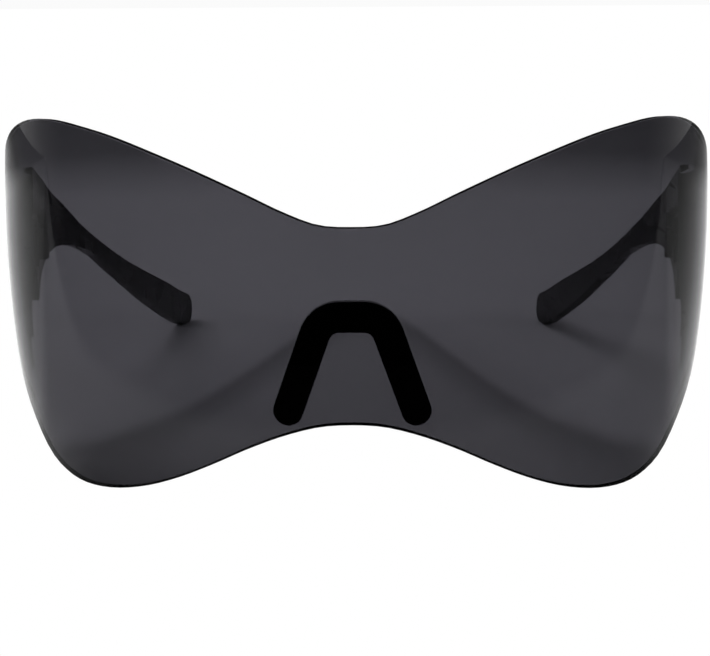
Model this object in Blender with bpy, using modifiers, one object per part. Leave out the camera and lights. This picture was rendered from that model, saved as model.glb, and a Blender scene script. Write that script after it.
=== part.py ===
# Party glasses: an oversized rimless shield, worn like a mask, with two folding temples.
# X runs across the face, Y from the lens back to the temple tips, and Z up from the table on which the
# lens's two lobes and the temple tips stand. The origin lies on the table, under the middle of the glasses.

import bpy
import bmesh
from math import cos, pi, radians, sin, sqrt
from mathutils import Vector

CLEARANCE = 0.0003            # between two pieces that touch or slide
OVERRUN = 0.0010              # by which a cut runs past what it cuts

# The line along which the front bends, seen from above, from the nose to the temples
FRONT_RADIUS = 0.120
FRONT_TURN = radians(25.5)
SIDE_RADIUS = 0.039
SIDE_TURN = radians(58.2)
ROOT_RADIUS = 0.120
ROOT_TURN = radians(15.3)
BOW_RADIUS = 0.250            # bow of the sheet from top to bottom
BOW_HEIGHT = 0.045            # where the bow stands widest

# Lens
LENS_THICKNESS = 0.0020
LENS_RIM_ROUND = 0.00035
NOSE_TOP_HEIGHT = 0.0548
CREST_HEIGHT = 0.0732
CREST_REACH = 0.0640          # along the sheet, from the nose to the top of a wing
REAR_TOP_HEIGHT = 0.0620
NOSE_BOTTOM_HEIGHT = 0.0171
LOBE_REACH = 0.0545           # along the sheet, from the nose to the bottom of a lobe
REAR_BOTTOM_HEIGHT = 0.0310
REAR_CORNER_ROUND = 0.0016
TOP_TO_CREST_SHARES = ((0.10, 0.024), (0.19, 0.135), (0.31, 0.322), (0.56, 0.665), (0.81, 0.920))
TOP_TO_REAR_SHARES = ((0.28, 0.085), (0.48, 0.246), (0.66, 0.466), (0.83, 0.729))
BOTTOM_TO_LOBE_SHARES = ((0.11, 0.024), (0.22, 0.117), (0.37, 0.310), (0.51, 0.532), (0.66, 0.749),
                         (0.81, 0.912))
BOTTOM_TO_REAR_SHARES = ((0.25, 0.042), (0.43, 0.155), (0.58, 0.358), (0.68, 0.500), (0.79, 0.670))

# End pieces, bonded inside the lens's rear edges: a thin plate with a tail, and a block for the hinge
END_PIECE_LENGTH = 0.0190     # along the sheet
END_PIECE_THICKNESS = 0.0014
END_PIECE_MARGIN = 0.0032     # from the lens's lower edge up to the plate
END_PIECE_TOP_MARGIN = 0.0006  # from the lens's upper rear corner down to the plate's top
END_PIECE_SHOULDER_HEIGHT = 0.0520
END_PIECE_TAIL_HEIGHT = 0.0250
END_PIECE_TAIL_REACH = 0.0120  # along the sheet, from the plate's front to its tail
END_PIECE_FRONT_SHARES = ((0.13, 0.38), (0.46, 0.66))
END_PIECE_ROUND = 0.0004
HINGE_BLOCK_MARGIN = 0.0008   # of the block around the hinge leaf

# Temples
TEMPLE_LENGTH = 0.1284        # along the plate, from the hinge to the tip
TEMPLE_THICKNESS = 0.0028
TEMPLE_EDGE_ROUND = 0.0007
ROOT_TOP_MARGIN = 0.0007      # from the lens's upper rear corner down to the temple's
ROOT_BOTTOM_HEIGHT = 0.0325
NECK_UNDERSIDE_HEIGHT = 0.0407
TIP_TOP_HEIGHT = 0.0075
TIP_ROUND = 0.0037
TEMPLE_TOP_SHARES = ((0.09, 0.075), (0.15, 0.145), (0.21, 0.210), (0.29, 0.315), (0.41, 0.455),
                     (0.55, 0.602), (0.70, 0.738), (0.81, 0.834), (0.93, 0.945))
FLARE_LENGTH = 0.0195         # of the lower flare, from the hinge to the neck
FLARE_SHARES = ((0.30, 0.56), (0.62, 0.88))
TEMPLE_BOTTOM_SHARES = ((0.08, 0.015), (0.18, 0.076), (0.28, 0.174), (0.375, 0.305), (0.48, 0.450),
                        (0.59, 0.604), (0.715, 0.762), (0.78, 0.840), (0.85, 0.920), (0.925, 0.994))

# Hinges, of three knuckles on an upright screw
HINGE_RISE = 0.0140           # from the temple's lower root corner up to the hinge's middle
KNUCKLE_RADIUS = 0.0014
KNUCKLE_HEIGHT = 0.0030
LEAF_THICKNESS = 0.0008
LEAF_HEIGHT = 0.0100
LEAF_LENGTH = 0.0085
HINGE_SCREW_RADIUS = 0.0006
HINGE_SCREW_HEAD_RADIUS = 0.0012
HINGE_SCREW_HEAD_HEIGHT = 0.0007
LEAF_SCREW_RADIUS = 0.00055
LEAF_SCREW_HEAD_RADIUS = 0.0011
LEAF_SCREW_HEAD_HEIGHT = 0.0005
LEAF_SCREW_BITE = 0.0013      # depth of the screw in the plastic
LEAF_SCREW_SPACING = 0.0052
LEAF_SCREW_SHARE = 0.58       # of a leaf's length, from the hinge to its screws
CROWN_SHARE = 0.75            # of a screw head's radius, left flat on its top
RIM_SHARE = 0.45              # of a screw head's height, in its rounded rim
SLOT_WIDTH = 0.0003
SLOT_DEPTH = 0.00025

# Nose saddle, an arch bonded inside the lens, and its two soft pads
SADDLE_THICKNESS = 0.0016
SADDLE_WIDTH = 0.0059         # of the band that the arch is made of
SADDLE_TOP_HEIGHT = 0.0408
SADDLE_FLAT = 0.0046          # straight part across its top
SADDLE_CORNER_RADIUS = 0.0050  # of the band's middle line
SADDLE_LEG_SPLAY = radians(20.0)
SADDLE_LEG_LENGTH = 0.0162    # straight part of the middle line
SADDLE_EDGE_ROUND = 0.0004
PAD_LENGTH = 0.0150
PAD_WIDTH = 0.0056
PAD_DEPTH = 0.0042
PAD_TURN = radians(24.0)      # of the pads towards the nose
PAD_PEG_RADIUS = 0.0010
PAD_SHARE = 0.50              # of a leg's straight part, down to the peg

# Fineness of the forms
FRONT_STEPS = 23
WING_STEPS = 17
LENS_ROWS = 8
END_PIECE_STEPS = 10
END_PIECE_ROWS = 5
BLOCK_STEPS = 5
ROOT_STEPS = 12
TEMPLE_STEPS = 20
TEMPLE_ROWS = 4
TIP_STEPS = 5
LEAF_STEPS = 3
CORNER_STEPS = 3
KNUCKLE_STEPS = 20
ARCH_STEPS = 8
LEG_END_STEPS = 12
ROUND_STEPS = 2
SOFT_LEVELS = 2
ROD_SIDES = 16
PIN_SIDES = 20
LEAF_SCREW_SIDES = 12
LAST_CORNER_ANGLE = radians(75)
SMOOTH_ANGLE = radians(35)
EDGE_ANGLE = radians(50)

SIDES = (("left", -1), ("right", 1))

FRONT_LENGTH = FRONT_RADIUS * FRONT_TURN
LENS_LENGTH = FRONT_LENGTH + SIDE_RADIUS * SIDE_TURN
BEND_LENGTH = LENS_LENGTH + ROOT_RADIUS * ROOT_TURN
INSIDE = LENS_THICKNESS + CLEARANCE
ROOT_TOP_HEIGHT = REAR_TOP_HEIGHT - ROOT_TOP_MARGIN
HINGE_HEIGHT = ROOT_BOTTOM_HEIGHT + HINGE_RISE
TEMPLE_START = LENS_LENGTH + CLEARANCE / 2
TEMPLE_END = TEMPLE_START + TEMPLE_LENGTH
END_PIECE_START = LENS_LENGTH - END_PIECE_LENGTH
END_PIECE_END = LENS_LENGTH - CLEARANCE / 2


def clear_scene():
    for item in list(bpy.data.objects):
        bpy.data.objects.remove(item, do_unlink=True)


def bend(along):
    """Place and outward direction, seen from above, at a distance along the front's line."""
    turn = min(along, FRONT_LENGTH) / FRONT_RADIUS
    x = FRONT_RADIUS * sin(turn)
    y = FRONT_RADIUS * (1 - cos(turn))
    arcs = ((SIDE_RADIUS, FRONT_LENGTH, LENS_LENGTH), (ROOT_RADIUS, LENS_LENGTH, BEND_LENGTH))
    for radius, start, end in arcs:
        if along > start:
            after = turn + (min(along, end) - start) / radius
            x += radius * (sin(after) - sin(turn))
            y += radius * (cos(turn) - cos(after))
            turn = after
    if along > BEND_LENGTH:
        x += (along - BEND_LENGTH) * cos(turn)
        y += (along - BEND_LENGTH) * sin(turn)
    return Vector((x, y, 0)), Vector((sin(turn), -cos(turn), 0))


OVERALL_DEPTH = (bend(TEMPLE_END)[0] - bend(TEMPLE_END)[1] * INSIDE).y


def on_sheet(along, height, depth, side=1):
    """A point inside the lens's outer face, at a distance along it, a height and a depth."""
    place, outward = bend(abs(along))
    fade = min(max((along - LENS_LENGTH) / (BEND_LENGTH - LENS_LENGTH), 0), 1)
    bow = (BOW_RADIUS - sqrt(BOW_RADIUS ** 2 - (height - BOW_HEIGHT) ** 2)) * (1 - fade)
    point = place - outward * (depth + bow)
    if along < 0:
        point.x = -point.x
    return Vector((side * point.x, point.y - OVERALL_DEPTH / 2, height))


def smooth_line(points, level_start=False):
    """A curve through points, as a function that gives the height at a distance."""
    spans = [(b[0] - a[0], (b[1] - a[1]) / (b[0] - a[0])) for a, b in zip(points, points[1:])]
    slopes = [0 if level_start else spans[0][1]]
    for (width, slope), (next_width, next_slope) in zip(spans, spans[1:]):
        slopes.append((slope * next_width + next_slope * width) / (width + next_width))
    slopes.append(spans[-1][1])

    def height(distance):
        index = 0
        while index < len(spans) - 1 and distance > points[index + 1][0]:
            index += 1
        width = spans[index][0]
        t = (distance - points[index][0]) / width
        start, end = points[index][1], points[index + 1][1]
        rise = (1 - t) ** 2 * (1 + 2 * t) * start + t * t * (3 - 2 * t) * end
        return rise + width * t * (1 - t) * ((1 - t) * slopes[index] - t * slopes[index + 1])

    return height


def spread(shares, start, end):
    """Points between two ends, from shares of the distance and of the height between them."""
    return [tuple(a + (b - a) * share for a, b, share in zip(start, end, pair)) for pair in shares]


def edge_line(nose, turning, rear, inner_shares, outer_shares):
    """An edge of the lens from the nose over a wing or under a lobe to the rear."""
    points = [nose] + spread(inner_shares, nose, turning) + [turning]
    points += spread(outer_shares, turning, rear) + [rear]
    return smooth_line(points, level_start=True)


LENS_TOP = edge_line((0, NOSE_TOP_HEIGHT), (CREST_REACH, CREST_HEIGHT), (LENS_LENGTH, REAR_TOP_HEIGHT),
                     TOP_TO_CREST_SHARES, TOP_TO_REAR_SHARES)
LENS_BOTTOM = edge_line((0, NOSE_BOTTOM_HEIGHT), (LOBE_REACH, 0), (LENS_LENGTH, REAR_BOTTOM_HEIGHT),
                        BOTTOM_TO_LOBE_SHARES, BOTTOM_TO_REAR_SHARES)


def corner_drop(along, end, radius):
    """How far a rounded corner takes an edge away from its line."""
    past = min(max(along - (end - radius), 0), radius)
    return radius - sqrt(radius ** 2 - past ** 2)


def corner_stations(end, radius, count):
    """Distances for a rounded end, closer together towards it."""
    steps = [LAST_CORNER_ANGLE * (index + 1) / count for index in range(count)]
    return [end - radius + radius * sin(step) for step in steps[:-1]] + [end]


def even_stations(start, end, count):
    return [start + (end - start) * index / count for index in range(count + 1)]


def collection(name):
    made = bpy.data.collections.new(name)
    bpy.context.scene.collection.children.link(made)
    return made


def material(name, colour, roughness, metallic=0.0, transmission=0.0):
    made = bpy.data.materials.new(name)
    made.use_nodes = True
    shader = made.node_tree.nodes["Principled BSDF"]
    shader.inputs["Base Color"].default_value = (*colour, 1.0)
    shader.inputs["Roughness"].default_value = roughness
    shader.inputs["Metallic"].default_value = metallic
    shader.inputs["Transmission Weight"].default_value = transmission
    made.diffuse_color = (*colour, 1.0)
    return made


def add_object(name, mesh, finish, group):
    item = bpy.data.objects.new(name, mesh)
    if finish:
        mesh.materials.append(finish)
    group.objects.link(item)
    return item


def add_mesh(name, form, finish, group):
    """An object from a bmesh, shaded smooth apart from its corners."""
    mesh = bpy.data.meshes.new(name)
    form.to_mesh(mesh)
    form.free()
    mesh.shade_smooth()
    mesh.set_sharp_from_angle(angle=SMOOTH_ANGLE)
    return add_object(name, mesh, finish, group)


def hide(guide):
    """Keep a shape that other pieces are cut or joined with out of sight."""
    guide.hide_render = True
    guide.display_type = "WIRE"
    return guide


def add_guide(name, form, guides):
    return hide(add_mesh(name, form, None, guides))


def combine(item, guide, operation):
    step = item.modifiers.new(guide.name, "BOOLEAN")
    step.operation = operation
    step.object = guide
    step.solver = "EXACT"


def round_edges(item, width):
    bevel = item.modifiers.new("rounded edges", "BEVEL")
    bevel.width = width
    bevel.segments = ROUND_STEPS
    bevel.limit_method = "ANGLE"
    bevel.angle_limit = EDGE_ANGLE


def sheet(name, stations, low, high, depth, thickness, rows, finish, group, side=1):
    """A plate that follows the front's line, between a lower and an upper edge."""
    form = bmesh.new()
    columns = len(stations) - 1
    bmesh.ops.create_grid(form, x_segments=columns, y_segments=rows, size=0.5)
    for vertex in form.verts:
        along = stations[round((vertex.co.x + 0.5) * columns)]
        bottom, top = low(along), high(along)
        height = bottom + (top - bottom) * (vertex.co.y + 0.5)
        vertex.co = on_sheet(along, height, depth, side)
    if side < 0:
        bmesh.ops.reverse_faces(form, faces=form.faces)
    item = add_mesh(name, form, finish, group)
    solid = item.modifiers.new("thickness", "SOLIDIFY")
    solid.thickness = thickness
    solid.offset = -1
    solid.use_even_offset = True
    return item


def face_outward(form):
    form.normal_update()
    bmesh.ops.recalc_face_normals(form, faces=form.faces)


def rod(form, start, end, radius, segments):
    """A round bar between two points, added to a bmesh."""
    axis = end - start
    turn = axis.to_track_quat("Z", "Y").to_matrix().to_4x4()
    turn.translation = (start + end) / 2
    bmesh.ops.create_cone(form, cap_ends=True, segments=segments, radius1=radius, radius2=radius,
                          depth=axis.length, matrix=turn)


def make_lens(finish, group):
    def top(along):
        return LENS_TOP(along) - corner_drop(along, LENS_LENGTH, REAR_CORNER_ROUND)

    def bottom(along):
        return LENS_BOTTOM(along) + corner_drop(along, LENS_LENGTH, REAR_CORNER_ROUND)

    stations = even_stations(0, LOBE_REACH, FRONT_STEPS)
    stations += even_stations(LOBE_REACH, LENS_LENGTH - REAR_CORNER_ROUND, WING_STEPS)[1:]
    stations += corner_stations(LENS_LENGTH, REAR_CORNER_ROUND, CORNER_STEPS)
    lens = sheet("lens", stations, bottom, top, 0, LENS_THICKNESS, LENS_ROWS, finish, group)
    mirror = lens.modifiers.new("other half", "MIRROR")
    mirror.merge_threshold = CLEARANCE / 10
    mirror.use_clip = True
    lens.modifiers.move(len(lens.modifiers) - 1, 0)
    round_edges(lens, LENS_RIM_ROUND)
    return lens


class HingePlace:
    """Where a side's hinge stands: its axis, and the directions along and into the glasses."""

    def __init__(self, side):
        place, outward = bend(LENS_LENGTH)
        depth = INSIDE + TEMPLE_THICKNESS + CLEARANCE + KNUCKLE_RADIUS
        bow = (BOW_RADIUS - sqrt(BOW_RADIUS ** 2 - (HINGE_HEIGHT - BOW_HEIGHT) ** 2))
        axis = place - outward * (depth + bow)
        self.side = side
        self.axis = Vector((side * axis.x, axis.y - OVERALL_DEPTH / 2, HINGE_HEIGHT))
        self.inward = Vector((-side * outward.x, -outward.y, 0))
        self.along = Vector((-side * outward.y, outward.x, 0))

    def point(self, along, inward, up):
        return self.axis + self.along * along + self.inward * inward + Vector((0, 0, up))


def knuckle(name, place, middle, reach, guides):
    """A knuckle with the tongue that joins it to a leaf, on the side given by the sign of reach."""
    form = bmesh.new()
    toward = 1 if reach > 0 else -1
    outline = [(reach, -KNUCKLE_RADIUS), (reach, LEAF_THICKNESS - KNUCKLE_RADIUS)]
    rise = LEAF_THICKNESS - KNUCKLE_RADIUS
    first = sqrt(KNUCKLE_RADIUS ** 2 - rise ** 2)
    start = Vector((first, rise)).angle_signed(Vector((1, 0)))
    for index in range(KNUCKLE_STEPS + 1):
        angle = start + (3 * pi / 2 - start) * index / KNUCKLE_STEPS
        outline.append((toward * KNUCKLE_RADIUS * cos(angle), KNUCKLE_RADIUS * sin(angle)))
    bottom = middle - KNUCKLE_HEIGHT / 2
    ring = [form.verts.new(place.point(a, i, bottom)) for a, i in outline]
    face = form.faces.new(ring)
    top = bmesh.ops.extrude_face_region(form, geom=[face])["geom"]
    lifted = [part for part in top if isinstance(part, bmesh.types.BMVert)]
    bmesh.ops.translate(form, verts=lifted, vec=(0, 0, KNUCKLE_HEIGHT))
    face_outward(form)
    return add_guide(name, form, guides)


def leaf_screw_places(direction):
    """Where a leaf's two screws stand: the upper and the lower one's distance and height."""
    along = LENS_LENGTH + direction * (KNUCKLE_RADIUS + LEAF_LENGTH * LEAF_SCREW_SHARE)
    return [("upper", along, HINGE_HEIGHT + LEAF_SCREW_SPACING / 2),
            ("lower", along, HINGE_HEIGHT - LEAF_SCREW_SPACING / 2)]


def screw_holes(name, side, direction, guides):
    """The holes for a leaf's screws, through the leaf and into the plastic."""
    form = bmesh.new()
    radius = LEAF_SCREW_RADIUS + CLEARANCE
    deep = INSIDE + TEMPLE_THICKNESS - LEAF_SCREW_BITE - CLEARANCE
    shallow = INSIDE + TEMPLE_THICKNESS + CLEARANCE + LEAF_THICKNESS + OVERRUN
    for _, along, height in leaf_screw_places(direction):
        rod(form, on_sheet(along, height, deep, side), on_sheet(along, height, shallow, side), radius,
            ROD_SIDES)
    return add_guide(name, form, guides)


def leaf_screw(name, side, along, height, finish, group, guides):
    """One of a leaf's screws, with a slotted head."""
    deep = INSIDE + TEMPLE_THICKNESS - LEAF_SCREW_BITE
    seat = INSIDE + TEMPLE_THICKNESS + CLEARANCE + LEAF_THICKNESS + CLEARANCE
    crown = seat + LEAF_SCREW_HEAD_HEIGHT
    top, end = on_sheet(along, height, crown, side), on_sheet(along, height, deep, side)
    profile = ((0, LEAF_SCREW_HEAD_RADIUS * CROWN_SHARE),
               (LEAF_SCREW_HEAD_HEIGHT * RIM_SHARE, LEAF_SCREW_HEAD_RADIUS),
               (LEAF_SCREW_HEAD_HEIGHT, LEAF_SCREW_HEAD_RADIUS),
               (LEAF_SCREW_HEAD_HEIGHT, LEAF_SCREW_RADIUS), (crown - deep, LEAF_SCREW_RADIUS))
    form = bmesh.new()
    turned(form, top, end, profile, LEAF_SCREW_SIDES)
    screw = add_mesh(name, form, finish, group)
    slot = bmesh.new()
    reach = Vector((0, 0, LEAF_SCREW_HEAD_RADIUS * 2))
    bar(slot, top - reach, top + reach, (end - top).normalized(), SLOT_WIDTH, SLOT_DEPTH * 2)
    combine(screw, add_guide(name + "_slot", slot, guides), "DIFFERENCE")
    return screw


def turned(form, top, bottom, profile, segments):
    """A closed turned form from (distance down the axis, radius) pairs, added to a bmesh."""
    axis = (bottom - top).normalized()
    across = axis.orthogonal().normalized()
    other = axis.cross(across)
    rings = []
    for distance, radius in profile:
        centre = top + axis * distance
        ring = []
        for index in range(segments):
            angle = 2 * pi * index / segments
            ring.append(form.verts.new(centre + (across * cos(angle) + other * sin(angle)) * radius))
        rings.append(ring)
    for upper, lower in zip(rings, rings[1:]):
        for index in range(segments):
            after = (index + 1) % segments
            form.faces.new((upper[index], lower[index], lower[after], upper[after]))
    form.faces.new(rings[0])
    form.faces.new(list(reversed(rings[-1])))
    face_outward(form)


def bar(form, start, end, facing, width, depth):
    """A square bar between two points, with its depth along the facing direction."""
    axis = (end - start).normalized()
    across = axis.cross(facing).normalized()
    made = bmesh.ops.create_cube(form, size=1.0)["verts"]
    centre = (start + end) / 2
    for vertex in made:
        x, y, z = vertex.co
        vertex.co = centre + across * (x * width) + facing * (y * depth) + axis * (z * (end - start).length)
    face_outward(form)


def make_end_piece(name, side, finish, group, guides):
    """The plate inside the lens's rear edge, with the block that the hinge leaf lies on."""
    tail = END_PIECE_START + END_PIECE_TAIL_REACH
    shoulder = (END_PIECE_START, END_PIECE_SHOULDER_HEIGHT)
    lowest = (tail, END_PIECE_TAIL_HEIGHT)
    front = smooth_line([shoulder] + spread(END_PIECE_FRONT_SHARES, shoulder, lowest) + [lowest])

    def top(along):
        return REAR_TOP_HEIGHT - END_PIECE_TOP_MARGIN

    def bottom(along):
        lens_side = LENS_BOTTOM(along) + END_PIECE_MARGIN
        return max(front(along), lens_side) if along < tail else lens_side

    stations = even_stations(END_PIECE_START, END_PIECE_END, END_PIECE_STEPS)
    plate = sheet(name, stations, bottom, top, INSIDE, END_PIECE_THICKNESS, END_PIECE_ROWS, finish, group,
                  side)
    reach = KNUCKLE_RADIUS + CLEARANCE + LEAF_LENGTH + HINGE_BLOCK_MARGIN
    half = LEAF_HEIGHT / 2 + HINGE_BLOCK_MARGIN
    sunk = END_PIECE_THICKNESS / 2
    block_stations = even_stations(LENS_LENGTH - reach, END_PIECE_END - CLEARANCE, BLOCK_STEPS)
    block = sheet(name + "_block", block_stations, lambda along: HINGE_HEIGHT - half,
                  lambda along: HINGE_HEIGHT + half, INSIDE + sunk, TEMPLE_THICKNESS - sunk, 1, None,
                  guides, side)
    hide(block)
    combine(plate, block, "UNION")
    round_edges(plate, END_PIECE_ROUND)
    combine(plate, bpy.data.objects[name + "_screw_holes"], "DIFFERENCE")
    return plate


def temple_top_line():
    start = (TEMPLE_START, ROOT_TOP_HEIGHT)
    end = (TEMPLE_END, TIP_TOP_HEIGHT)
    return smooth_line([start] + spread(TEMPLE_TOP_SHARES, start, end) + [end])


def temple_bottom_line():
    start = (TEMPLE_START, ROOT_BOTTOM_HEIGHT)
    neck = (TEMPLE_START + FLARE_LENGTH, NECK_UNDERSIDE_HEIGHT)
    end = (TEMPLE_END, 0)
    points = [start] + spread(FLARE_SHARES, start, neck) + [neck]
    return smooth_line(points + spread(TEMPLE_BOTTOM_SHARES, neck, end) + [end])


def make_temple(name, side, finish, group):
    upper, lower = temple_top_line(), temple_bottom_line()

    def top(along):
        return upper(along) - corner_drop(along, TEMPLE_END, TIP_ROUND)

    def bottom(along):
        return lower(along) + corner_drop(along, TEMPLE_END, TIP_ROUND)

    stations = even_stations(TEMPLE_START, BEND_LENGTH, ROOT_STEPS)
    stations += even_stations(BEND_LENGTH, TEMPLE_END - TIP_ROUND, TEMPLE_STEPS)[1:]
    stations += corner_stations(TEMPLE_END, TIP_ROUND, TIP_STEPS)
    temple = sheet(name, stations, bottom, top, INSIDE, TEMPLE_THICKNESS, TEMPLE_ROWS, finish, group, side)
    round_edges(temple, TEMPLE_EDGE_ROUND)
    combine(temple, bpy.data.objects[name + "_screw_holes"], "DIFFERENCE")
    return temple


def make_leaf(name, place, direction, middles, finish, group, guides):
    """A hinge leaf: a plate on the plastic, with knuckles at the given heights."""
    near = LENS_LENGTH + direction * (KNUCKLE_RADIUS + CLEARANCE)
    far = near + direction * LEAF_LENGTH
    depth = INSIDE + TEMPLE_THICKNESS + CLEARANCE
    stations = even_stations(min(near, far), max(near, far), LEAF_STEPS)
    leaf = sheet(name, stations, lambda along: HINGE_HEIGHT - LEAF_HEIGHT / 2,
                 lambda along: HINGE_HEIGHT + LEAF_HEIGHT / 2, depth, LEAF_THICKNESS, 1, finish, group,
                 place.side)
    reach = direction * (KNUCKLE_RADIUS + CLEARANCE + LEAF_THICKNESS)
    for index, middle in enumerate(middles):
        guide = knuckle("%s_knuckle_%d" % (name, index + 1), place, middle, reach, guides)
        combine(leaf, guide, "UNION")
    bore = bmesh.new()
    span = LEAF_HEIGHT / 2 + OVERRUN
    rod(bore, place.point(0, 0, -span), place.point(0, 0, span), HINGE_SCREW_RADIUS + CLEARANCE,
        PIN_SIDES)
    combine(leaf, add_guide(name + "_bore", bore, guides), "DIFFERENCE")
    return leaf


def make_hinge_screw(name, place, finish, group, guides):
    form = bmesh.new()
    knuckles = 3 * KNUCKLE_HEIGHT + 2 * CLEARANCE
    seat = knuckles / 2 + CLEARANCE
    crown = seat + HINGE_SCREW_HEAD_HEIGHT
    length = crown + knuckles / 2
    profile = ((0, HINGE_SCREW_HEAD_RADIUS * CROWN_SHARE),
               (HINGE_SCREW_HEAD_HEIGHT * RIM_SHARE, HINGE_SCREW_HEAD_RADIUS),
               (HINGE_SCREW_HEAD_HEIGHT, HINGE_SCREW_HEAD_RADIUS),
               (HINGE_SCREW_HEAD_HEIGHT, HINGE_SCREW_RADIUS), (length, HINGE_SCREW_RADIUS))
    turned(form, place.point(0, 0, crown), place.point(0, 0, crown - length), profile, PIN_SIDES)
    screw = add_mesh(name, form, finish, group)
    slot = bmesh.new()
    reach = HINGE_SCREW_HEAD_RADIUS * 2
    bar(slot, place.point(-reach, 0, crown), place.point(reach, 0, crown), Vector((0, 0, 1)),
        SLOT_WIDTH, SLOT_DEPTH * 2)
    combine(screw, add_guide(name + "_slot", slot, guides), "DIFFERENCE")
    return screw


def saddle_outline():
    """The arch's outline, from its middle line and the width of its band."""
    half = SADDLE_WIDTH / 2
    corner_x = SADDLE_FLAT / 2
    corner_z = SADDLE_TOP_HEIGHT - half - SADDLE_CORNER_RADIUS
    turn = pi / 2 - SADDLE_LEG_SPLAY
    down = Vector((sin(SADDLE_LEG_SPLAY), -cos(SADDLE_LEG_SPLAY)))
    square = Vector((cos(SADDLE_LEG_SPLAY), sin(SADDLE_LEG_SPLAY)))
    corner = Vector((corner_x, corner_z))
    foot = corner + square * SADDLE_CORNER_RADIUS + down * SADDLE_LEG_LENGTH
    outer, inner, cap = [], [], []
    for index in range(ARCH_STEPS + 1):
        angle = pi / 2 - turn * index / ARCH_STEPS
        ray = Vector((cos(angle), sin(angle)))
        outer.append(corner + ray * (SADDLE_CORNER_RADIUS + half))
        inner.append(corner + ray * (SADDLE_CORNER_RADIUS - half))
    for index in range(LEG_END_STEPS + 1):
        angle = pi * index / LEG_END_STEPS
        cap.append(foot + (square * cos(angle) + down * sin(angle)) * half)
    right = outer + cap + list(reversed(inner))
    left = [Vector((-point.x, point.y)) for point in reversed(right)]
    return right + left, foot, down, square


def make_saddle(finish, group, guides):
    outline, foot, down, square = saddle_outline()
    curve = bpy.data.curves.new("nose_saddle_outline", "CURVE")
    curve.dimensions = "2D"
    curve.fill_mode = "BOTH"
    curve.extrude = SADDLE_THICKNESS / 2
    spline = curve.splines.new("POLY")
    spline.points.add(len(outline) - 1)
    for knot, point in zip(spline.points, outline):
        knot.co = (point.x, point.y, 0, 1)
    spline.use_cyclic_u = True
    drawn = bpy.data.objects.new("nose_saddle_outline", curve)
    group.objects.link(drawn)
    ready = drawn.evaluated_get(bpy.context.evaluated_depsgraph_get())
    form = bmesh.new()
    form.from_mesh(bpy.data.meshes.new_from_object(ready))
    bpy.data.objects.remove(drawn, do_unlink=True)
    bmesh.ops.remove_doubles(form, verts=form.verts, dist=CLEARANCE / 10)
    for vertex in form.verts:
        across, height, lift = vertex.co
        vertex.co = on_sheet(across, height, INSIDE + SADDLE_THICKNESS / 2 - lift)
    face_outward(form)
    saddle = add_mesh("nose_saddle", form, finish, group)
    round_edges(saddle, SADDLE_EDGE_ROUND)
    holes = bmesh.new()
    for name, side in SIDES:
        rod(holes, pad_place(side, depth=-SADDLE_THICKNESS - OVERRUN), pad_place(side, depth=OVERRUN),
            PAD_PEG_RADIUS + CLEARANCE, ROD_SIDES)
    combine(saddle, add_guide("nose_saddle_holes", holes, guides), "DIFFERENCE")
    return saddle


def pad_place(side, across=0, down_leg=0, depth=0):
    """A point behind a leg of the saddle, from the middle of the leg's hole."""
    outline, foot, down, square = saddle_outline()
    spot = foot - down * (SADDLE_LEG_LENGTH * (1 - PAD_SHARE) - down_leg) + square * across
    return on_sheet(spot.x, spot.y, INSIDE + SADDLE_THICKNESS + depth, side)


def make_pad(name, side, finish, group, guides):
    """A soft pad on a leg of the saddle, with the peg that holds it there."""
    form = bmesh.new()
    bmesh.ops.create_cube(form, size=1.0)
    bmesh.ops.subdivide_edges(form, edges=form.edges, cuts=1, use_grid_fill=True)
    lean = sin(PAD_TURN) / cos(PAD_TURN)
    for vertex in form.verts:
        across = vertex.co.x * PAD_WIDTH
        rise = (vertex.co.y + 0.5) * (PAD_DEPTH + across * lean)
        vertex.co = pad_place(side, across, vertex.co.z * PAD_LENGTH, CLEARANCE + rise)
    face_outward(form)
    pad = add_mesh(name, form, finish, group)
    soft = pad.modifiers.new("soft form", "SUBSURF")
    soft.levels = SOFT_LEVELS
    soft.render_levels = SOFT_LEVELS
    peg = bmesh.new()
    rod(peg, pad_place(side, depth=CLEARANCE - SADDLE_THICKNESS), pad_place(side, depth=PAD_DEPTH / 2),
        PAD_PEG_RADIUS, ROD_SIDES)
    combine(pad, add_guide(name + "_peg", peg, guides), "UNION")
    return pad


def hang_on(item, holder):
    """Hang a finished piece on its joint's axis, where it already stands."""
    for vertex in item.data.vertices:
        vertex.co -= holder.location
    item.parent = holder


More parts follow.
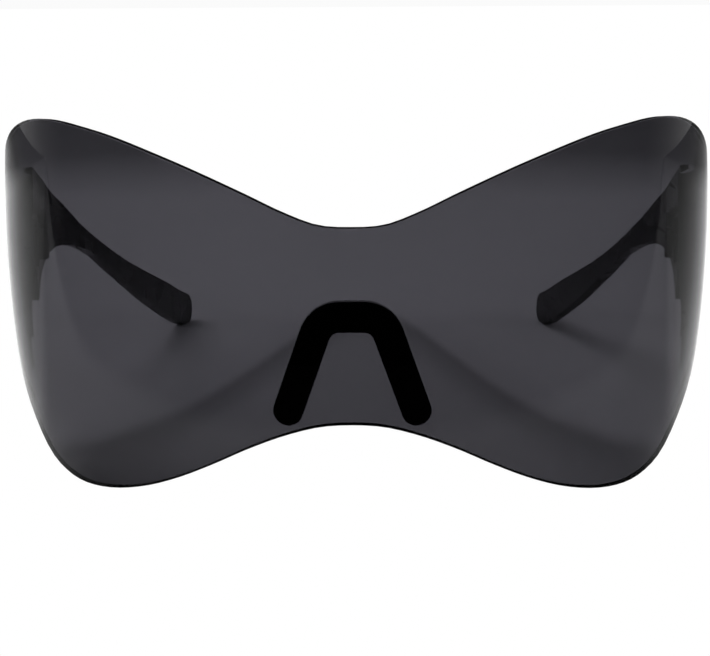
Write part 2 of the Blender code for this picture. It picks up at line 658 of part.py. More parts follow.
def build():
    clear_scene()
    glasses = collection("party_glasses")
    guides = collection("cutters")
    black = material("gloss black plastic", (0.006, 0.006, 0.007), 0.12)
    tint = material("smoke lens", (0.05, 0.05, 0.055), 0.03, transmission=1.0)
    steel = material("hinge steel", (0.35, 0.35, 0.36), 0.30, metallic=1.0)
    bright = material("screw steel", (0.55, 0.55, 0.56), 0.22, metallic=1.0)
    soft = material("pad silicone", (0.012, 0.012, 0.013), 0.55)

    make_lens(tint, glasses)
    make_saddle(black, glasses, guides)
    step = KNUCKLE_HEIGHT + CLEARANCE
    for word, side in SIDES:
        place = HingePlace(side)
        holder = bpy.data.objects.new(word + "_temple_axis", None)
        holder.location = place.axis
        glasses.objects.link(holder)
        make_pad("nose_pad_" + word, side, soft, glasses, guides)
        screw_holes("end_piece_%s_screw_holes" % word, side, -1, guides)
        screw_holes("temple_%s_screw_holes" % word, side, 1, guides)
        make_end_piece("end_piece_" + word, side, black, glasses, guides)
        temple = make_temple("temple_" + word, side, black, glasses)
        front_leaf = make_leaf("hinge_front_leaf_" + word, place, -1, (-step, step), steel, glasses, guides)
        combine(front_leaf, bpy.data.objects["end_piece_%s_screw_holes" % word], "DIFFERENCE")
        rear_leaf = make_leaf("hinge_temple_leaf_" + word, place, 1, (0,), steel, glasses, guides)
        combine(rear_leaf, bpy.data.objects["temple_%s_screw_holes" % word], "DIFFERENCE")
        make_hinge_screw("hinge_screw_" + word, place, bright, glasses, guides)
        moving = [temple, rear_leaf]
        for leaf, direction in (("front_leaf", -1), ("temple_leaf", 1)):
            for which, along, height in leaf_screw_places(direction):
                name = "%s_screw_%s_%s" % (leaf, word, which)
                screw = leaf_screw(name, side, along, height, bright, glasses, guides)
                if direction > 0:
                    moving.append(screw)
        for item in moving:
            hang_on(item, holder)


build()
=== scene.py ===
from math import radians

import bmesh
import bpy
from mathutils import Matrix, Vector
from mathutils.bvhtree import BVHTree


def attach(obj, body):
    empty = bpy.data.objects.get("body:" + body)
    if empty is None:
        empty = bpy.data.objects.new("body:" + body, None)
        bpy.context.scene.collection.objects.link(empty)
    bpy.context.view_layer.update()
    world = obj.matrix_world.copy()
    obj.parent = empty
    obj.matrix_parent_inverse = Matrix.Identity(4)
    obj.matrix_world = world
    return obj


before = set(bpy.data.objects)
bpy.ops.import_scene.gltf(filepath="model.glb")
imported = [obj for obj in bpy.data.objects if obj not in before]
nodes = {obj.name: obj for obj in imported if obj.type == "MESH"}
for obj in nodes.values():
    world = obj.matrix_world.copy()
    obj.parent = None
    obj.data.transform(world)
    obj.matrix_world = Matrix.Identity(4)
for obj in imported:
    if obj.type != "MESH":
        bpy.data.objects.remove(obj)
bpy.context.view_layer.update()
scene = bpy.context.scene
scene.view_settings.view_transform = "Standard"


def addNode(tree, kind, place=(0, 0), **settings):
    node = tree.nodes.new(kind)
    node.location = place
    for name, value in settings.items():
        setattr(node, name, value)
    return node


# inputs are (name, socket kind, start value), outputs (name, socket kind)
def newGroup(name, inputs, outputs):
    group = bpy.data.node_groups.new(name, "ShaderNodeTree")
    for label, kind, start in inputs:
        socket = group.interface.new_socket(name=label, in_out="INPUT", socket_type=kind)
        socket.default_value = start
    for label, kind in outputs:
        group.interface.new_socket(name=label, in_out="OUTPUT", socket_type=kind)
    entry = addNode(group, "NodeGroupInput", (-900, 0))
    leave = addNode(group, "NodeGroupOutput", (900, 0))
    return group, entry, leave


def placeGroup(tree, group, place, **values):
    node = addNode(tree, "ShaderNodeGroup", place, node_tree=group)
    for name, value in values.items():
        node.inputs[name].default_value = value
    return node


def mathStep(tree, operation, first, second, place):
    node = addNode(tree, "ShaderNodeMath", place, operation=operation)
    for socket, value in zip(node.inputs, (first, second)):
        if isinstance(value, (int, float)):
            socket.default_value = value
        else:
            tree.links.new(value, socket)
    return node.outputs[0]


def rangeStep(tree, value, low, high, newLow, newHigh, place):
    node = addNode(tree, "ShaderNodeMapRange", place)
    tree.links.new(value, node.inputs["Value"])
    for name, number in zip(("From Min", "From Max", "To Min", "To Max"), (low, high, newLow, newHigh)):
        node.inputs[name].default_value = number
    return node.outputs["Result"]


def colourBetween(tree, factor, first, second, place):
    node = addNode(tree, "ShaderNodeMix", place, data_type="RGBA")
    node.inputs[6].default_value = (*first, 1)
    node.inputs[7].default_value = (*second, 1)
    tree.links.new(factor, node.inputs[0])
    return node.outputs[2]


# lays one plain colour over another socket's colour, where the factor says
def layOver(tree, under, factor, colour, place):
    node = addNode(tree, "ShaderNodeMix", place, data_type="RGBA")
    node.inputs[7].default_value = (*colour, 1)
    tree.links.new(under, node.inputs[6])
    tree.links.new(factor, node.inputs[0])
    return node.outputs[2]


mouldedLook = {"grainDetail": 3, "waveDetail": 2, "grainShare": 0.25, "mottleFrom": 0.35, "mottleTo": 0.65}


# the very fine skin of a moulded or polished surface, with a slow unevenness under it
def buildMoulding():
    group, entry, leave = newGroup("mouldedSkin", [("Grain Size", "NodeSocketFloat", 2500.0),
                                                   ("Wave Size", "NodeSocketFloat", 60.0)],
                                   [("Height", "NodeSocketFloat"), ("Mottle", "NodeSocketFloat")])
    where = addNode(group, "ShaderNodeTexCoord", (-900, -250))
    grain = addNode(group, "ShaderNodeTexNoise", (-600, 150))
    grain.inputs["Detail"].default_value = mouldedLook["grainDetail"]
    wave = addNode(group, "ShaderNodeTexNoise", (-600, -150))
    wave.inputs["Detail"].default_value = mouldedLook["waveDetail"]
    group.links.new(where.outputs["Object"], grain.inputs["Vector"])
    group.links.new(where.outputs["Object"], wave.inputs["Vector"])
    group.links.new(entry.outputs["Grain Size"], grain.inputs["Scale"])
    group.links.new(entry.outputs["Wave Size"], wave.inputs["Scale"])
    fine = mathStep(group, "MULTIPLY", grain.outputs["Fac"], mouldedLook["grainShare"], (-350, 150))
    group.links.new(mathStep(group, "ADD", fine, wave.outputs["Fac"], (-100, 50)), leave.inputs["Height"])
    mottle = rangeStep(group, wave.outputs["Fac"], mouldedLook["mottleFrom"], mouldedLook["mottleTo"], 0, 1,
                       (-100, -150))
    group.links.new(mottle, leave.inputs["Mottle"])
    return group


handledLook = {"smearDetail": 5, "smearWarp": 0.6, "smearFrom": 0.48, "smearTo": 0.72,
               "scratchDetail": 1, "scratchFineness": 9.0, "scratchFrom": 0.70, "scratchTo": 0.74,
               "scratchSets": (  # turn in degrees, stretch
                   ((20, 5, 35), (1, 0.03, 1)),
                   ((-15, 0, -50), (0.03, 1, 1)))}


# what hands leave: soft smears, and hairline scratches in two directions
def buildHandling():
    group, entry, leave = newGroup("handlingMarks", [("Smear Size", "NodeSocketFloat", 35.0),
                                                     ("Scratch Size", "NodeSocketFloat", 90.0)],
                                   [("Smears", "NodeSocketFloat"), ("Scratches", "NodeSocketFloat")])
    where = addNode(group, "ShaderNodeTexCoord", (-1100, 0))
    smear = addNode(group, "ShaderNodeTexNoise", (-600, 250))
    smear.inputs["Detail"].default_value = handledLook["smearDetail"]
    smear.inputs["Distortion"].default_value = handledLook["smearWarp"]
    group.links.new(where.outputs["Object"], smear.inputs["Vector"])
    group.links.new(entry.outputs["Smear Size"], smear.inputs["Scale"])
    smears = rangeStep(group, smear.outputs["Fac"], handledLook["smearFrom"], handledLook["smearTo"], 0, 1,
                       (-350, 250))
    group.links.new(smears, leave.inputs["Smears"])
    fineness = mathStep(group, "MULTIPLY", entry.outputs["Scratch Size"], handledLook["scratchFineness"],
                        (-850, -120))
    found = []
    for index, (turn, stretch) in enumerate(handledLook["scratchSets"]):
        mapping = addNode(group, "ShaderNodeMapping", (-850, -250 * index))
        mapping.inputs["Rotation"].default_value = [radians(angle) for angle in turn]
        mapping.inputs["Scale"].default_value = stretch
        lines = addNode(group, "ShaderNodeTexNoise", (-600, -250 * index))
        lines.inputs["Detail"].default_value = handledLook["scratchDetail"]
        group.links.new(where.outputs["Object"], mapping.inputs["Vector"])
        group.links.new(mapping.outputs["Vector"], lines.inputs["Vector"])
        group.links.new(fineness, lines.inputs["Scale"])
        found.append(rangeStep(group, lines.outputs["Fac"], handledLook["scratchFrom"],
                               handledLook["scratchTo"], 0, 1, (-350, -250 * index)))
    group.links.new(mathStep(group, "MAXIMUM", found[0], found[1], (100, -100)), leave.inputs["Scratches"])
    return group


edgeWearAndHighlightLook = {"samples": 4, "patchDetail": 4, "edgeFrom": 0.995, "edgeTo": 0.93,
              "patchFrom": 0.35, "patchTo": 0.6, "patchLeast": 0.2}


# where a corner is rubbed and painted lighter, as wear and as a painted highlight: the normal of a rounded
# corner against the real one
def buildEdgeWearAndHighlight():
    group, entry, leave = newGroup("edgeWearAndHighlight", [("Width", "NodeSocketFloat", 0.0003),
                                               ("Breakup Size", "NodeSocketFloat", 500.0)],
                                   [("Edges", "NodeSocketFloat")])
    bevel = addNode(group, "ShaderNodeBevel", (-600, 100), samples=edgeWearAndHighlightLook["samples"])
    group.links.new(entry.outputs["Width"], bevel.inputs["Radius"])
    real = addNode(group, "ShaderNodeNewGeometry", (-600, -100))
    compare = addNode(group, "ShaderNodeVectorMath", (-350, 0), operation="DOT_PRODUCT")
    group.links.new(bevel.outputs["Normal"], compare.inputs[0])
    group.links.new(real.outputs["Normal"], compare.inputs[1])
    where = addNode(group, "ShaderNodeTexCoord", (-900, -350))
    patchy = addNode(group, "ShaderNodeTexNoise", (-350, -350))
    patchy.inputs["Detail"].default_value = edgeWearAndHighlightLook["patchDetail"]
    group.links.new(where.outputs["Object"], patchy.inputs["Vector"])
    group.links.new(entry.outputs["Breakup Size"], patchy.inputs["Scale"])
    edge = rangeStep(group, compare.outputs["Value"], edgeWearAndHighlightLook["edgeFrom"], edgeWearAndHighlightLook["edgeTo"], 0, 1,
                     (-100, 0))
    broken = rangeStep(group, patchy.outputs["Fac"], edgeWearAndHighlightLook["patchFrom"], edgeWearAndHighlightLook["patchTo"],
                       edgeWearAndHighlightLook["patchLeast"], 1, (-100, -350))
    group.links.new(mathStep(group, "MULTIPLY", edge, broken, (300, 0)), leave.inputs["Edges"])
    return group


mouldedSkin = buildMoulding()
handlingMarks = buildHandling()
edgeWearAndHighlight = buildEdgeWearAndHighlight()
print("shared effects built")


def startMaterial(name, metallic=0.0, specular=0.5):
    made = bpy.data.materials.new(name)
    made.use_nodes = True
    tree = made.node_tree
    shader = tree.nodes["Principled BSDF"]
    shader.inputs["Metallic"].default_value = metallic
    shader.inputs["Specular IOR Level"].default_value = specular
    return made, tree, shader


def addBump(tree, shader, height, strength, distance):
    bump = addNode(tree, "ShaderNodeBump", (-250, -450))
    bump.inputs["Strength"].default_value = strength
    bump.inputs["Distance"].default_value = distance
    tree.links.new(height, bump.inputs["Height"])
    tree.links.new(bump.outputs["Normal"], shader.inputs["Normal"])


# roughness is the surface's own, raised where the handling marks are
def addRoughness(tree, shader, marks, own, smeared, scratched):
    smears = mathStep(tree, "MULTIPLY", marks.outputs["Smears"], smeared, (-800, 0))
    scratches = mathStep(tree, "MULTIPLY", marks.outputs["Scratches"], scratched, (-800, -200))
    marked = mathStep(tree, "ADD", smears, scratches, (-600, -50))
    tree.links.new(mathStep(tree, "ADD", marked, own, (-400, 0)), shader.inputs["Roughness"])


def placeSkin(tree, look):
    skin = placeGroup(tree, mouldedSkin, (-1100, 200),
                      **{"Grain Size": look["grainSize"], "Wave Size": look["waveSize"]})
    marks = placeGroup(tree, handlingMarks, (-1100, -100),
                       **{"Smear Size": look["smearSize"], "Scratch Size": look["scratchSize"]})
    return skin, marks


lensFinish = {"tint": (0.0735, 0.0720, 0.0820), "deepTint": (0.0695, 0.0680, 0.0775), "ior": 1.18,
              "polish": 0.004, "smearRoughness": 0.020, "scratchRoughness": 0.10,
              "absorption": (0.800, 0.800, 0.810), "absorptionDensity": 1000.0,
              "grainSize": 900.0, "waveSize": 22.0, "smearSize": 26.0, "scratchSize": 30.0,
              "bump": 0.0005, "bumpDepth": 0.00002}


def makeLensFinish():
    made, tree, shader = startMaterial("smokeLens")
    shader.inputs["IOR"].default_value = lensFinish["ior"]
    shader.inputs["Transmission Weight"].default_value = 1.0
    skin, marks = placeSkin(tree, lensFinish)
    tint = colourBetween(tree, skin.outputs["Mottle"], lensFinish["tint"], lensFinish["deepTint"], (-300, 300))
    tree.links.new(tint, shader.inputs["Base Color"])
    addRoughness(tree, shader, marks, lensFinish["polish"], lensFinish["smearRoughness"],
                 lensFinish["scratchRoughness"])
    addBump(tree, shader, skin.outputs["Height"], lensFinish["bump"], lensFinish["bumpDepth"])
    depth = addNode(tree, "ShaderNodeVolumeAbsorption", (0, -500))
    depth.inputs["Color"].default_value = (*lensFinish["absorption"], 1)
    depth.inputs["Density"].default_value = lensFinish["absorptionDensity"]
    tree.links.new(depth.outputs["Volume"], tree.nodes["Material Output"].inputs["Volume"])
    return made


def makePlasticFinish(name, look):
    made, tree, shader = startMaterial(name, specular=look["specular"])
    shader.inputs["IOR"].default_value = look["ior"]
    shader.inputs["Coat Roughness"].default_value = look["coatRoughness"]
    shader.inputs["Coat Weight"].default_value = look["coat"]
    skin, marks = placeSkin(tree, look)
    edges = placeGroup(tree, edgeWearAndHighlight, (-1100, -350),
                       **{"Width": look["edgeWidth"], "Breakup Size": look["patchSize"]})
    body = colourBetween(tree, skin.outputs["Mottle"], look["colour"], look["shade"], (-700, 300))
    # rounded corners painted lighter, as rubbed wear and as a painted highlight
    wearAndHighlight = mathStep(tree, "MULTIPLY", edges.outputs["Edges"], look["wearAndHighlightShare"], (-700, -350))
    tree.links.new(layOver(tree, body, wearAndHighlight, look["wearAndHighlightColour"], (-450, 300)), shader.inputs["Base Color"])
    addRoughness(tree, shader, marks, look["roughness"], look["smearRoughness"], look["scratchRoughness"])
    addBump(tree, shader, skin.outputs["Height"], look["bump"], look["bumpDepth"])
    return made


glossPlastic = {"colour": (0.0045, 0.0042, 0.0042), "shade": (0.0065, 0.0062, 0.0064),
                "wearAndHighlightColour": (0.030, 0.030, 0.032), "wearAndHighlightShare": 0.35, "edgeWidth": 0.00022, "patchSize": 700.0,
                "roughness": 0.09, "smearRoughness": 0.07, "scratchRoughness": 0.22,
                "coat": 0.10, "coatRoughness": 0.05, "specular": 0.35, "ior": 1.5,
                "grainSize": 2600.0, "waveSize": 70.0, "smearSize": 60.0, "scratchSize": 55.0,
                "bump": 0.05, "bumpDepth": 0.0003}
templePlastic = dict(glossPlastic, colour=(0.0052, 0.0052, 0.0058), shade=(0.0080, 0.0080, 0.0088),
                     roughness=0.26, smearRoughness=0.09, waveSize=45.0, bump=0.06, coat=0.0,
                     specular=0.16)
lensRim = dict(glossPlastic, colour=(0.0015, 0.0015, 0.0015), shade=(0.0025, 0.0025, 0.0025), wearAndHighlightShare=0.0,
               roughness=0.50, coat=0.0, specular=0.0)
padRubber = dict(glossPlastic, colour=(0.011, 0.011, 0.012), shade=(0.017, 0.017, 0.018),
                 wearAndHighlightColour=(0.050, 0.050, 0.052), wearAndHighlightShare=0.25, roughness=0.46, smearRoughness=0.14,
                 scratchRoughness=0.05, coat=0.0, coatRoughness=0.30, grainSize=4200.0, waveSize=160.0,
                 bump=0.35, bumpDepth=0.0004)


def makeMetalFinish(name, look):
    made, tree, shader = startMaterial(name, metallic=1.0)
    shader.inputs["Anisotropic"].default_value = look["anisotropy"]
    skin, marks = placeSkin(tree, look)
    edges = placeGroup(tree, edgeWearAndHighlight, (-1100, -350),
                       **{"Width": look["edgeWidth"], "Breakup Size": look["patchSize"]})
    body = colourBetween(tree, skin.outputs["Mottle"], look["colour"], look["shade"], (-700, 300))
    # rounded corners painted brighter, as rubbed wear and as a painted highlight
    tree.links.new(layOver(tree, body, edges.outputs["Edges"], look["bright"], (-450, 300)),
                   shader.inputs["Base Color"])
    addRoughness(tree, shader, marks, look["roughness"], look["smearRoughness"], look["scratchRoughness"])
    addBump(tree, shader, skin.outputs["Height"], look["bump"], look["bumpDepth"])
    return made


hingeSteel = {"colour": (0.050, 0.050, 0.053), "shade": (0.036, 0.036, 0.039), "bright": (0.16, 0.16, 0.165),
              "edgeWidth": 0.00012, "patchSize": 1500.0, "roughness": 0.26, "smearRoughness": 0.10,
              "scratchRoughness": 0.18, "anisotropy": 0.4, "grainSize": 3800.0, "waveSize": 600.0,
              "smearSize": 220.0, "scratchSize": 190.0, "bump": 0.20, "bumpDepth": 0.0001}
screwSteel = dict(hingeSteel, colour=(0.085, 0.085, 0.088), shade=(0.060, 0.060, 0.063),
                  bright=(0.24, 0.24, 0.245), roughness=0.20, anisotropy=0.2, grainSize=5200.0,
                  waveSize=900.0, scratchSize=260.0, bump=0.16)

finishes = {
    "lens": makeLensFinish(),
    "gloss": makePlasticFinish("glossBlackPlastic", glossPlastic),
    "temple": makePlasticFinish("templeBlackPlastic", templePlastic),
    "pad": makePlasticFinish("padRubber", padRubber),
    "rim": makePlasticFinish("lensRim", lensRim),
    "hinge": makeMetalFinish("hingeSteel", hingeSteel),
    "screw": makeMetalFinish("screwSteel", screwSteel),
}

finishFor = (("lens", "lens"), ("nose_pad", "pad"), ("nose_saddle", "gloss"), ("end_piece", "gloss"),
             ("hinge_screw", "screw"), ("front_leaf_screw", "screw"), ("temple_leaf_screw", "screw"),
             ("hinge_", "hinge"), ("temple_", "temple"))

smoothing = {"join": 0.000002, "sharpFrom": 35.0}


def newShapeGroup(name):
    group = bpy.data.node_groups.new(name, "GeometryNodeTree")
    for way in ("INPUT", "OUTPUT"):
        group.interface.new_socket(name="Geometry", in_out=way, socket_type="NodeSocketGeometry")
    return group, addNode(group, "NodeGroupInput", (-800, 0)), addNode(group, "NodeGroupOutput", (450, 0))


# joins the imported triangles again, and shades them smooth apart from real corners
def buildSmoothing():
    group, entry, leave = newShapeGroup("smoothAgain")
    flat = addNode(group, "GeometryNodeRemoveAttribute", (-600, 0))
    flat.inputs["Name"].default_value = "custom_normal"
    joined = addNode(group, "GeometryNodeMergeByDistance", (-400, 0))
    joined.inputs["Distance"].default_value = smoothing["join"]
    faces = addNode(group, "GeometryNodeSetShadeSmooth", (-200, 0), domain="FACE")
    corners = addNode(group, "GeometryNodeSetShadeSmooth", (200, 0), domain="EDGE")
    angle = addNode(group, "GeometryNodeInputMeshEdgeAngle", (-400, -250))
    steep = addNode(group, "FunctionNodeCompare", (-100, -250), operation="GREATER_THAN")
    steep.inputs[1].default_value = radians(smoothing["sharpFrom"])
    corners.inputs["Shade Smooth"].default_value = False
    group.links.new(entry.outputs[0], flat.inputs["Geometry"])
    group.links.new(flat.outputs[0], joined.inputs["Geometry"])
    group.links.new(joined.outputs[0], faces.inputs["Geometry"])
    group.links.new(faces.outputs[0], corners.inputs["Geometry"])
    group.links.new(angle.outputs["Unsigned Angle"], steep.inputs[0])
    group.links.new(steep.outputs[0], corners.inputs["Selection"])
    group.links.new(corners.outputs[0], leave.inputs[0])
    return group


rimEdge = {"steepFrom": 0.38}  # how much of a face's normal points up or down


# darkens the cut rim of the lens, along its top and its bottom, where the faces look up or down
def buildRim():
    group, entry, leave = newShapeGroup("cutRim")
    facing = addNode(group, "GeometryNodeInputNormal", (-800, -200))
    split = addNode(group, "ShaderNodeSeparateXYZ", (-600, -200))
    group.links.new(facing.outputs[0], split.inputs[0])
    steep = mathStep(group, "ABSOLUTE", split.outputs["Z"], 0.0, (-400, -200))
    cut = mathStep(group, "GREATER_THAN", steep, rimEdge["steepFrom"], (-200, -200))
    dark = addNode(group, "GeometryNodeSetMaterial", (0, 0))
    dark.inputs["Material"].default_value = finishes["rim"]
    group.links.new(entry.outputs[0], dark.inputs["Geometry"])
    group.links.new(cut, dark.inputs["Selection"])
    group.links.new(dark.outputs[0], leave.inputs[0])
    return group


smoothAgain = buildSmoothing()
cutRim = buildRim()

for name, node in nodes.items():
    finish = finishes[next(key for start, key in finishFor if name.startswith(start))]
    if not node.material_slots:
        node.data.materials.append(finish)
    for slot in node.material_slots:
        slot.material = finish
    node.modifiers.new("smooth again", "NODES").node_group = smoothAgain
    even = node.modifiers.new("even shading", "WEIGHTED_NORMAL")
    even.keep_sharp = True
    if name == "lens":
        node.modifiers.new("cut rim", "NODES").node_group = cutRim
print("finishes put on", len(nodes), "nodes")

# the thin tail of an end piece lines the inside of the lens's rear edge, down to a point
endTail = {"front": -0.0600, "shoulder": 0.0520, "tip": (-0.0516, 0.0203), "rear": -0.0436, "top": 0.0611,
           "line": ((0, 0), (0.10, 0.33), (0.32, 0.52), (0.61, 0.70), (1, 1)),  # share along, share down
           "margin": 0.0014, "gap": 0.00005, "thickness": 0.0008, "columns": 16, "rows": 10,
           "edge": 0.0002, "edgeSteps": 2, "search": 0.0002}


def lensWall():
    lens = nodes["lens"]
    points = [lens.matrix_world @ vertex.co for vertex in lens.data.vertices]
    return BVHTree.FromPolygons(points, [tuple(face.vertices) for face in lens.data.polygons])


# where a level ray from the middle meets the inside of the lens, and which way is inward there
def onWall(wall, side, back, height):
    spot, facing, _, _ = wall.ray_cast(Vector((0, back, height)), Vector((side, 0, 0)))
    if spot is None:
        return None, None
    return spot, facing if facing.x * side < 0 else -facing


# the lower end of the tail at one place: its own line, or the lens's edge where that is higher
def tailBottom(wall, side, back):
    height = endTail["shoulder"]
    while height > 0 and onWall(wall, side, back, height)[0]:
        height -= endTail["search"]
    lowest = height + endTail["margin"]
    (tipBack, tipHeight), front, shoulder = endTail["tip"], endTail["front"], endTail["shoulder"]
    along = (back - front) / (tipBack - front)
    for (start, down), (end, further) in zip(endTail["line"], endTail["line"][1:]):
        if start <= along <= end:
            share = down + (further - down) * (along - start) / (end - start)
            return max(lowest, shoulder - (shoulder - tipHeight) * share)
    return lowest


def makeEndTail(side, word):
    wall = lensWall()
    columns, rows = endTail["columns"], endTail["rows"]
    outer, inner = [], []
    for column in range(columns + 1):
        back = endTail["front"] + (endTail["rear"] - endTail["front"]) * column / columns
        low = tailBottom(wall, side, back)
        for row in range(rows + 1):
            spot, inward = onWall(wall, side, back, low + (endTail["top"] - low) * row / rows)
            outer.append(spot + inward * endTail["gap"])
            inner.append(spot + inward * (endTail["gap"] + endTail["thickness"]))
    wide, count = rows + 1, len(outer)
    faces = []
    for column in range(columns):
        for row in range(rows):
            first = column * wide + row
            ring = (first, first + 1, first + wide + 1, first + wide)
            faces += [ring, tuple(count + index for index in reversed(ring))]
    around = [column * wide for column in range(columns + 1)]
    around += [columns * wide + row for row in range(1, rows + 1)]
    around += [column * wide + rows for column in range(columns - 1, -1, -1)]
    around += list(range(rows - 1, 0, -1))
    for first, after in zip(around, around[1:] + around[:1]):
        faces.append((first, after, count + after, count + first))
    mesh = bpy.data.meshes.new("endPieceTail_" + word)
    mesh.from_pydata(outer + inner, [], faces)
    form = bmesh.new()
    form.from_mesh(mesh)
    bmesh.ops.recalc_face_normals(form, faces=form.faces)
    form.to_mesh(mesh)
    form.free()
    mesh.shade_smooth()
    mesh.set_sharp_from_angle(angle=radians(smoothing["sharpFrom"]))
    mesh.materials.append(finishes["gloss"])
    tail = bpy.data.objects.new("endPieceTail_" + word, mesh)
    scene.collection.objects.link(tail)
    rounded = tail.modifiers.new("rounded edge", "BEVEL")
    rounded.width, rounded.segments = endTail["edge"], endTail["edgeSteps"]
    rounded.limit_method = "ANGLE"
    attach(tail, "front")


makeEndTail(-1, "left")
makeEndTail(1, "right")
print("end pieces' tails made")


# the far part of the table is painted darker, a painted shade, and the shade and dim values paint a shadow
# behind the lens and a dark strip in front of it
table = {"colour": (0.80, 0.80, 0.80), "front": -0.155, "back": 40.0, "halfWidth": 25.0,
         "sink": 0.00005, "farShadeColour": (0.36, 0.36, 0.36), "fadeFrom": 0.36, "fadeTo": 0.56,
         "shadeFront": -0.045, "shadeReach": 0.145, "shadeWidth": 0.034, "shadeEdge": 0.007,
         "shadeDepth": 0.46, "shadeFall": 0.045, "shadeLeft": 0.3,
         "dimFrom": -0.098, "dimTo": -0.112, "dim": 0.97,
         "grainSize": 4.0, "grainShade": 0.985, "roughness": 0.9, "seenStrength": 1.0}


# paints the soft shade behind the lens into the table's colour, darkest at its bell-shaped outline, and paints
# the unlit strip in front of it dark
def footShade(tree, across, back):
    squeezed = mathStep(tree, "DIVIDE", across, table["shadeWidth"], (-1500, -600))
    distance = mathStep(tree, "ABSOLUTE", squeezed, 0.0, (-1350, -600))
    squared = mathStep(tree, "POWER", distance, 2.0, (-1200, -600))
    falling = mathStep(tree, "MULTIPLY", squared, -1.0, (-1050, -600))
    bell = mathStep(tree, "EXPONENT", falling, 0.0, (-900, -600))
    reach = mathStep(tree, "MULTIPLY", bell, table["shadeReach"], (-750, -600))
    outline = mathStep(tree, "ADD", reach, table["shadeFront"], (-600, -600))
    inside = mathStep(tree, "SUBTRACT", outline, back, (-450, -600))
    edge = rangeStep(tree, inside, -table["shadeEdge"], table["shadeEdge"], 0, 1, (-300, -500))
    fall = rangeStep(tree, inside, 0, table["shadeFall"], table["shadeDepth"],
                     table["shadeDepth"] * table["shadeLeft"], (-300, -700))
    dim = rangeStep(tree, back, table["dimFrom"], table["dimTo"], 0, table["dim"], (-300, -900))
    shade = mathStep(tree, "MULTIPLY", edge, fall, (-150, -600))
    return mathStep(tree, "MAXIMUM", shade, dim, (0, -600))


def makeTable():
    mesh = bpy.data.meshes.new("table")
    wide, front, back = table["halfWidth"], table["front"], table["back"]
    corners = [(-wide, front, 0), (wide, front, 0), (wide, back, 0), (-wide, back, 0)]
    mesh.from_pydata(corners, [], [(0, 1, 2, 3)])
    top = bpy.data.objects.new("table", mesh)
    top.location.z = -table["sink"]
    scene.collection.objects.link(top)
    made, tree, shader = startMaterial("paleTable", specular=0.0)
    grain = addNode(tree, "ShaderNodeTexNoise", (-600, 0))
    grain.inputs["Scale"].default_value = table["grainSize"]
    shade = [channel * table["grainShade"] for channel in table["colour"]]
    where = addNode(tree, "ShaderNodeTexCoord", (-900, -300))
    split = addNode(tree, "ShaderNodeSeparateXYZ", (-700, -300))
    tree.links.new(where.outputs["Object"], split.inputs[0])
    # the far part of the table is painted darker, a painted shade
    away = rangeStep(tree, split.outputs["Y"], table["fadeFrom"], table["fadeTo"], 0, 1, (-500, -300))
    near = colourBetween(tree, grain.outputs["Fac"], table["colour"], shade, (-300, 0))
    farShaded = layOver(tree, near, away, table["farShadeColour"], (-100, 0))
    # a painted shadow behind the lens and a painted dark strip in front of it
    dark = footShade(tree, split.outputs["X"], split.outputs["Y"])
    tree.links.new(layOver(tree, farShaded, dark, (0, 0, 0), (100, 0)), shader.inputs["Base Color"])
    shader.inputs["Roughness"].default_value = table["roughness"]
    paper = addNode(tree, "ShaderNodeEmission", (0, 300))
    paper.inputs["Strength"].default_value = table["seenStrength"]
    seen = addNode(tree, "ShaderNodeLightPath", (0, 600))
    pick = addNode(tree, "ShaderNodeMixShader", (350, 200))
    tree.links.new(seen.outputs["Is Camera Ray"], pick.inputs[0])
    tree.links.new(shader.outputs[0], pick.inputs[1])
    tree.links.new(paper.outputs[0], pick.inputs[2])
    tree.links.new(pick.outputs[0], tree.nodes["Material Output"].inputs["Surface"])
    mesh.materials.append(made)


studio = {"front": 0.02, "rear": 1.60, "frontEdge": -0.25, "rearEdge": 0.25, "backdrop": 1.2,
          "lamps": (  # name, place, target, size, watts, seen in reflections
              ("leftBox", (-0.55, -0.95, 0.50), (0, 0, 0.02), 0.10, 5.0, False),
              ("rightBox", (0.55, -0.95, 0.50), (0, 0, 0.02), 0.10, 5.0, False),
              ("overhead", (-0.55, 0.35, 0.9), (0, 0.05, 0), 0.8, 13.0, True))}


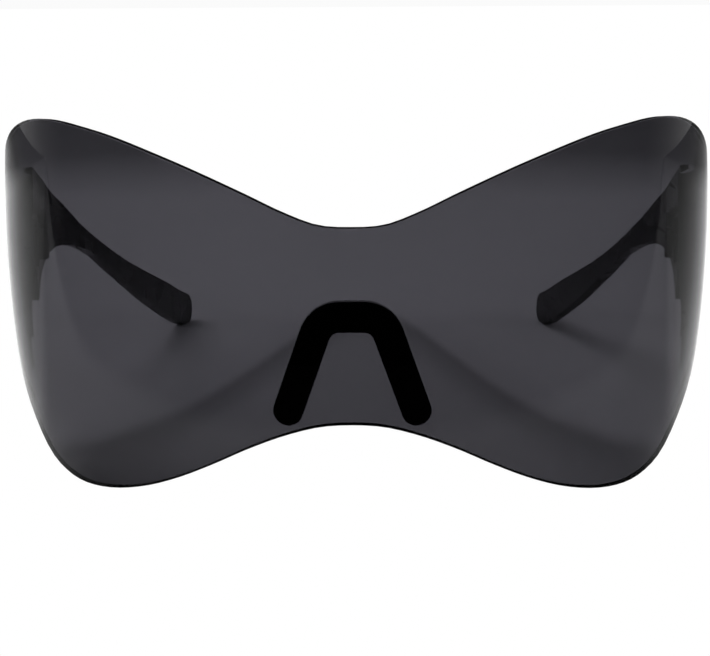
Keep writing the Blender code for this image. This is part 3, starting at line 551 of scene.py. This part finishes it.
def makeWorld():
    world = bpy.data.worlds.new("studio")
    scene.world = world
    world.use_nodes = True
    tree = world.node_tree
    tree.nodes.clear()
    where = addNode(tree, "ShaderNodeTexCoord", (-900, 0))
    split = addNode(tree, "ShaderNodeSeparateXYZ", (-700, 0))
    tree.links.new(where.outputs["Generated"], split.inputs[0])
    level = rangeStep(tree, split.outputs["Y"], studio["frontEdge"], studio["rearEdge"],
                      studio["front"], studio["rear"], (-500, 0))
    surround = addNode(tree, "ShaderNodeBackground", (-250, 0))
    tree.links.new(level, surround.inputs["Strength"])
    backdrop = addNode(tree, "ShaderNodeBackground", (-250, -200))
    backdrop.inputs["Strength"].default_value = studio["backdrop"]
    seen = addNode(tree, "ShaderNodeLightPath", (-500, 300))
    pick = addNode(tree, "ShaderNodeMixShader", (0, 0))
    tree.links.new(seen.outputs["Is Camera Ray"], pick.inputs[0])
    tree.links.new(surround.outputs[0], pick.inputs[1])
    tree.links.new(backdrop.outputs[0], pick.inputs[2])
    tree.links.new(pick.outputs[0], addNode(tree, "ShaderNodeOutputWorld", (250, 0)).inputs["Surface"])


def makeLamps():
    for name, place, target, size, watts, reflected in studio["lamps"]:
        data = bpy.data.lights.new(name, "AREA")
        data.size, data.energy = size, watts
        lamp = bpy.data.objects.new(name, data)
        scene.collection.objects.link(lamp)
        lamp.location = place
        aim = (Vector(target) - lamp.location).to_track_quat("-Z", "Y")
        lamp.rotation_euler = aim.to_euler()
        lamp.visible_glossy = reflected
        lamp.visible_camera = False
        lamp.visible_transmission = False


view = {"place": (0.0057, -0.33475, 0.0943), "pitch": 13.05, "yaw": 1.15, "roll": -0.35, "focal": 70.99,
        "sensorWidth": 36.0, "nearest": 0.01, "farthest": 60.0}


def makeCamera():
    data = bpy.data.cameras.new("photographView")
    data.sensor_fit = "HORIZONTAL"
    data.sensor_width = view["sensorWidth"]
    data.lens = view["focal"]
    data.clip_start, data.clip_end = view["nearest"], view["farthest"]
    camera = bpy.data.objects.new("photographView", data)
    scene.collection.objects.link(camera)
    yaw = Matrix.Rotation(radians(view["yaw"]), 4, "Z")
    tilt = Matrix.Rotation(radians(90 - view["pitch"]), 4, "X")
    roll = Matrix.Rotation(radians(view["roll"]), 4, "Z")
    camera.matrix_world = Matrix.Translation(view["place"]) @ yaw @ tilt @ roll
    scene.camera = camera


makeTable()
makeWorld()
makeLamps()
makeCamera()
print("table, light and camera placed")
